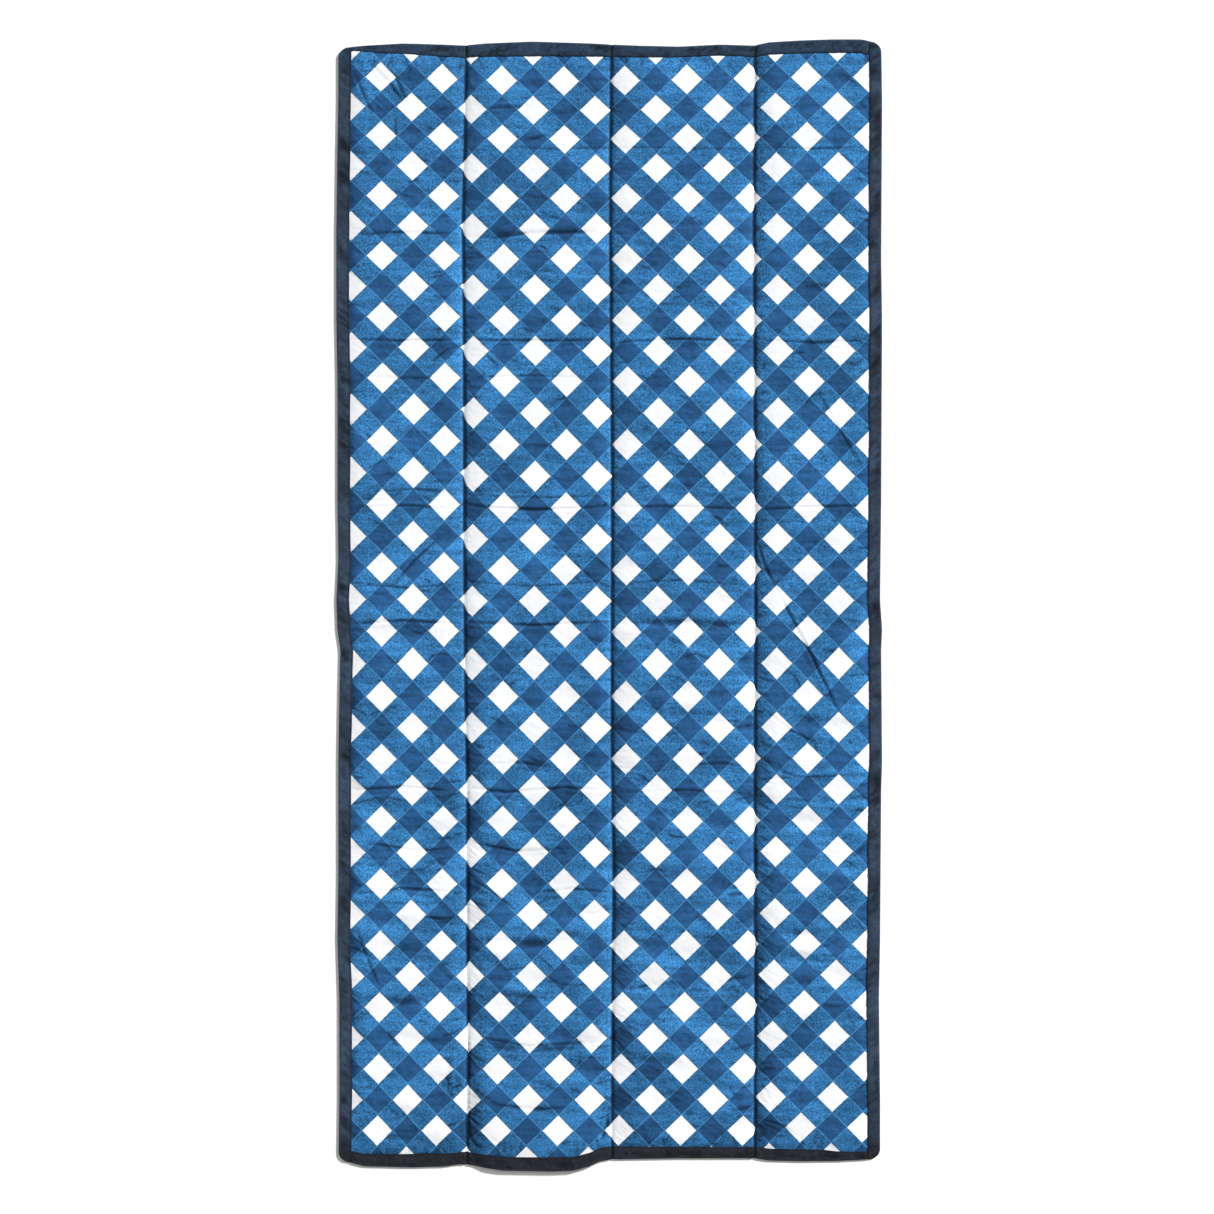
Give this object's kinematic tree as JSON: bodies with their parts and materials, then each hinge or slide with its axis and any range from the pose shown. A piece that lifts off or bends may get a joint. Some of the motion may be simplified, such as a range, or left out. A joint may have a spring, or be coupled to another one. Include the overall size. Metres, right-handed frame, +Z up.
{
  "type": "camp blanket",
  "caption": "Rectangular quilted outdoor blanket with long columns parted by sewn fold seams, taped edges, and a hook-and-loop closure flap with a webbing handle tucked under its foot end.",
  "frame": {"origin": "centre of the laid-open blanket's footprint, on the floor", "axes": "+X to the right across the width as seen from the foot end, +Y along the length towards the head end, +Z up out of the printed face"},
  "size_m": [1.466, 3.048, 0.009],
  "materials": {
    "printed_cloth": "matte",
    "fibre_fill": "matte",
    "backing_cloth": "satin",
    "binding_tape": "matte",
    "sewing_thread": "satin",
    "hook_tape": "satin",
    "loop_tape": "matte",
    "webbing": "satin"
  },
  "bodies": {
    "inner_left": {"face_inner_left": "printed_cloth", "batting_inner_left": "fibre_fill", "backing_inner_left": "backing_cloth", "foot_binding_inner_left": "binding_tape", "head_binding_inner_left": "binding_tape", "foot_thread_inner_left": "sewing_thread", "head_thread_inner_left": "sewing_thread", "seam_thread_left": "sewing_thread", "seam_thread_centre": "sewing_thread", "loop_tape": "loop_tape"},
    "outer_left": {"face_outer_left": "printed_cloth", "batting_outer_left": "fibre_fill", "backing_outer_left": "backing_cloth", "foot_binding_outer_left": "binding_tape", "head_binding_outer_left": "binding_tape", "side_binding_left": "binding_tape", "foot_thread_outer_left": "sewing_thread", "head_thread_outer_left": "sewing_thread", "side_thread_left": "sewing_thread"},
    "inner_right": {"face_inner_right": "printed_cloth", "batting_inner_right": "fibre_fill", "backing_inner_right": "backing_cloth", "foot_binding_inner_right": "binding_tape", "head_binding_inner_right": "binding_tape", "foot_thread_inner_right": "sewing_thread", "head_thread_inner_right": "sewing_thread", "seam_thread_right": "sewing_thread"},
    "outer_right": {"face_outer_right": "printed_cloth", "batting_outer_right": "fibre_fill", "backing_outer_right": "backing_cloth", "foot_binding_outer_right": "binding_tape", "head_binding_outer_right": "binding_tape", "side_binding_right": "binding_tape", "foot_thread_outer_right": "sewing_thread", "head_thread_outer_right": "sewing_thread", "side_thread_right": "sewing_thread"},
    "flap": {"flap_cloth": "backing_cloth", "flap_binding": "binding_tape", "flap_thread": "sewing_thread", "hook_tape": "hook_tape", "carry_handle": "webbing", "handle_tack_left": "sewing_thread", "handle_tack_right": "sewing_thread"}
  },
  "joints": [
    {"name": "fold_left", "type": "hinge", "parent": "inner_left", "child": "outer_left", "pos_m": [-0.392, 0, 0.0094], "axis": [0, 1, 0], "range_deg": [0, 179.8]},
    {"name": "fold_centre", "type": "hinge", "parent": "inner_left", "child": "inner_right", "pos_m": [0.006, 0, 0.02029], "axis": [0, -1, 0], "range_deg": [0, 179.8]},
    {"name": "fold_right", "type": "hinge", "parent": "inner_right", "child": "outer_right", "pos_m": [0.394, 0, 0.0094], "axis": [0, -1, 0], "range_deg": [0, 179.8]},
    {"name": "flap_hinge", "type": "hinge", "parent": "inner_left", "child": "flap", "pos_m": [-0.193, -1.486, 0.00195], "axis": [-1, 0, 0], "range_deg": [0, 179.8]}
  ]
}
